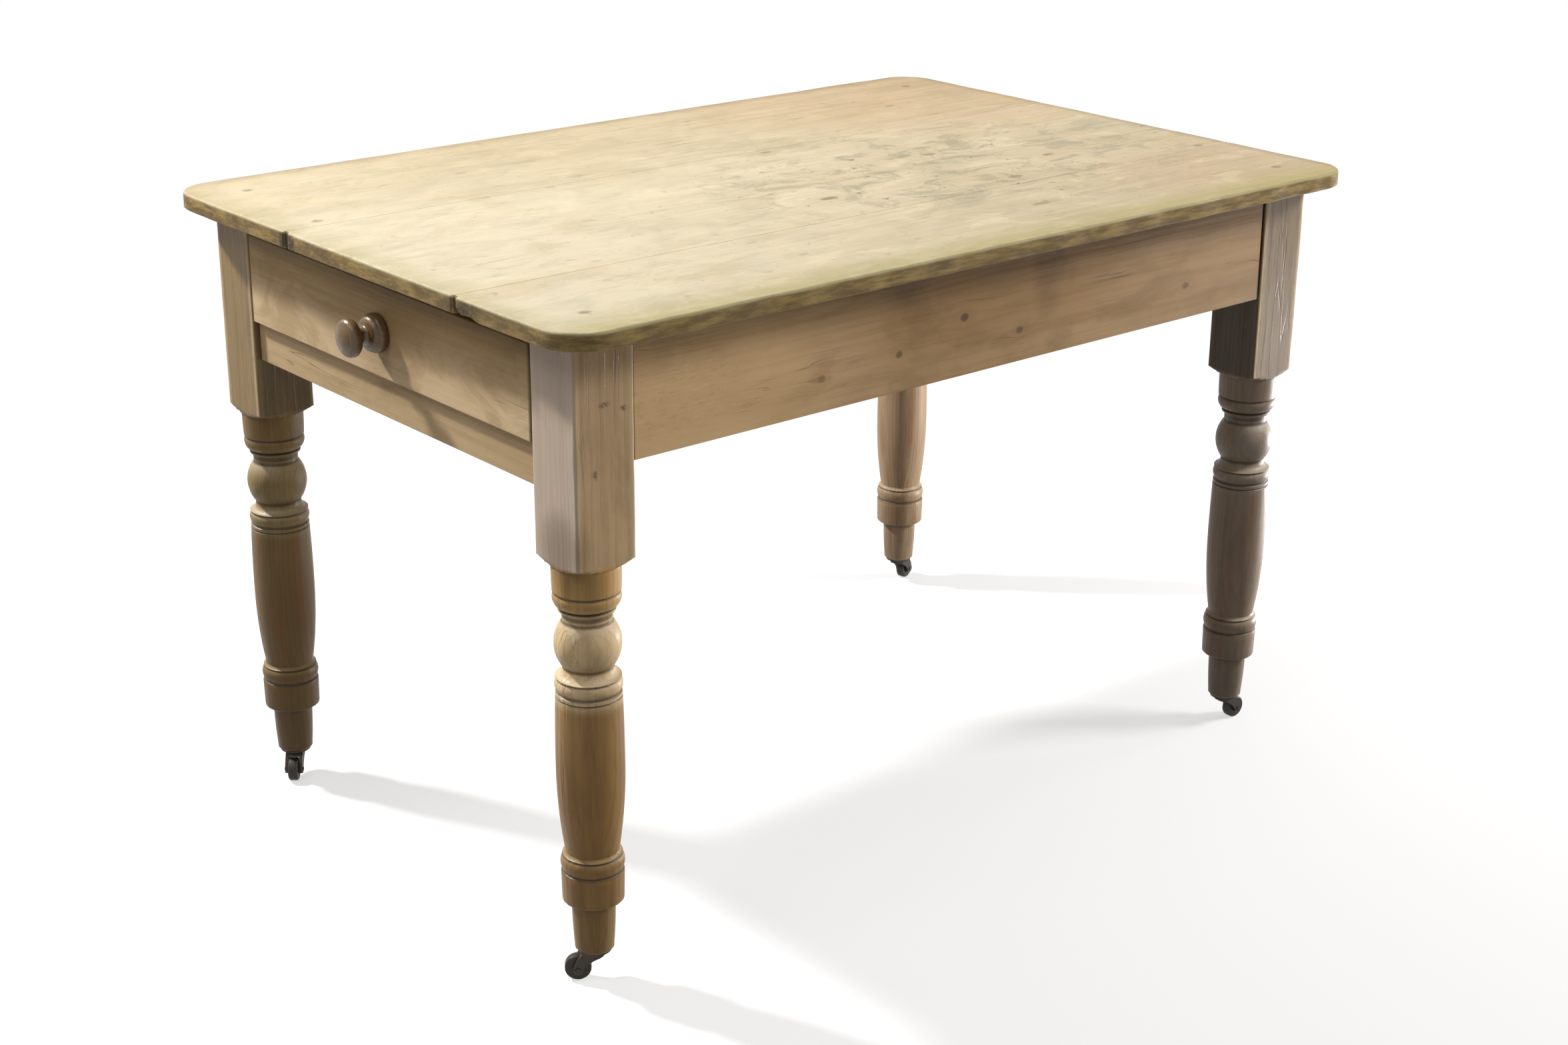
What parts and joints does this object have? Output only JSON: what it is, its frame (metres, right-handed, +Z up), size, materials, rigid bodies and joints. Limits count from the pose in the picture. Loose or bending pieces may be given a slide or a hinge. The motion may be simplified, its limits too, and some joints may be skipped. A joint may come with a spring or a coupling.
{
  "type": "kitchen table",
  "caption": "Plank-topped pine kitchen table on turned legs with swivelling iron casters and a dovetailed drawer in its short end.",
  "frame": {"origin": "on the floor under the middle of the top", "axes": "+X along the length of the top, away from the drawer; +Y across the table, to the left of someone at the drawer; +Z up"},
  "size_m": [1.231, 0.831, 0.775],
  "materials": {
    "pine_top": "scrubbed pale pine, bare",
    "pine_frame": "old waxed pine, mid brown",
    "pine_knob": "turned pine, worn to a soft sheen",
    "pine_inside": "bare sawn pine",
    "caster_iron": "dark worn iron",
    "wheel_iron": "dark worn iron, brighter on the tread",
    "nail_iron": "oxidised cut nails"
  },
  "bodies": {
    "frame": {"top_plank_left": "pine_top", "top_plank_middle": "pine_top", "top_plank_right": "pine_top", "top_nails": "nail_iron", "leg_front_right": "pine_frame", "leg_front_left": "pine_frame", "leg_rear_right": "pine_frame", "leg_rear_left": "pine_frame", "side_apron_left": "pine_frame", "side_apron_right": "pine_frame", "end_apron": "pine_frame", "drawer_rail_lower": "pine_frame", "drawer_rail_upper": "pine_frame", "drawer_runner_left": "pine_inside", "drawer_runner_right": "pine_inside", "drawer_guide_left": "pine_inside", "drawer_guide_right": "pine_inside", "drawer_kicker_left": "pine_inside", "drawer_kicker_right": "pine_inside", "drawer_stops": "pine_inside", "caster_plate_front_right": "caster_iron", "caster_plate_front_left": "caster_iron", "caster_plate_rear_right": "caster_iron", "caster_plate_rear_left": "caster_iron"},
    "drawer": {"drawer_front": "pine_frame", "drawer_side_left": "pine_inside", "drawer_side_right": "pine_inside", "drawer_back": "pine_inside", "drawer_bottom": "pine_inside", "drawer_bottom_nails": "nail_iron", "drawer_knob": "pine_knob"},
    "swivel_front_right": {"caster_fork_front_right": "caster_iron", "caster_axle_front_right": "caster_iron"},
    "wheel_front_right": {"caster_wheel_front_right": "wheel_iron"},
    "swivel_front_left": {"caster_fork_front_left": "caster_iron", "caster_axle_front_left": "caster_iron"},
    "wheel_front_left": {"caster_wheel_front_left": "wheel_iron"},
    "swivel_rear_right": {"caster_fork_rear_right": "caster_iron", "caster_axle_rear_right": "caster_iron"},
    "wheel_rear_right": {"caster_wheel_rear_right": "wheel_iron"},
    "swivel_rear_left": {"caster_fork_rear_left": "caster_iron", "caster_axle_rear_left": "caster_iron"},
    "wheel_rear_left": {"caster_wheel_rear_left": "wheel_iron"}
  },
  "joints": [
    {"name": "drawer_slide", "type": "slide", "parent": "frame", "child": "drawer", "axis": [-1, 0, 0], "range_m": [0, 0.4]},
    {"name": "caster_swivel_front_right", "type": "hinge", "parent": "frame", "child": "swivel_front_right", "pos_m": [-0.534, -0.3305, 0.03], "axis": [0, 0, 1], "continuous": true},
    {"name": "wheel_spin_front_right", "type": "hinge", "parent": "swivel_front_right", "child": "wheel_front_right", "pos_m": [-0.54937, -0.31933, 0.015], "axis": [-0.5878, -0.809, 0], "continuous": true},
    {"name": "caster_swivel_front_left", "type": "hinge", "parent": "frame", "child": "swivel_front_left", "pos_m": [-0.534, 0.3305, 0.03], "axis": [0, 0, 1], "continuous": true},
    {"name": "wheel_spin_front_left", "type": "hinge", "parent": "swivel_front_left", "child": "wheel_front_left", "pos_m": [-0.54621, 0.31594, 0.015], "axis": [0.766, -0.6428, 0], "continuous": true},
    {"name": "caster_swivel_rear_right", "type": "hinge", "parent": "frame", "child": "swivel_rear_right", "pos_m": [0.534, -0.3305, 0.03], "axis": [0, 0, 1], "continuous": true},
    {"name": "wheel_spin_rear_right", "type": "hinge", "parent": "swivel_rear_right", "child": "wheel_rear_right", "pos_m": [0.55297, -0.33149, 0.015], "axis": [0.0523, 0.9986, 0], "continuous": true},
    {"name": "caster_swivel_rear_left", "type": "hinge", "parent": "frame", "child": "swivel_rear_left", "pos_m": [0.534, 0.3305, 0.03], "axis": [0, 0, 1], "continuous": true},
    {"name": "wheel_spin_rear_left", "type": "hinge", "parent": "swivel_rear_left", "child": "wheel_rear_left", "pos_m": [0.55207, 0.33637, 0.015], "axis": [-0.309, 0.9511, 0], "continuous": true}
  ]
}
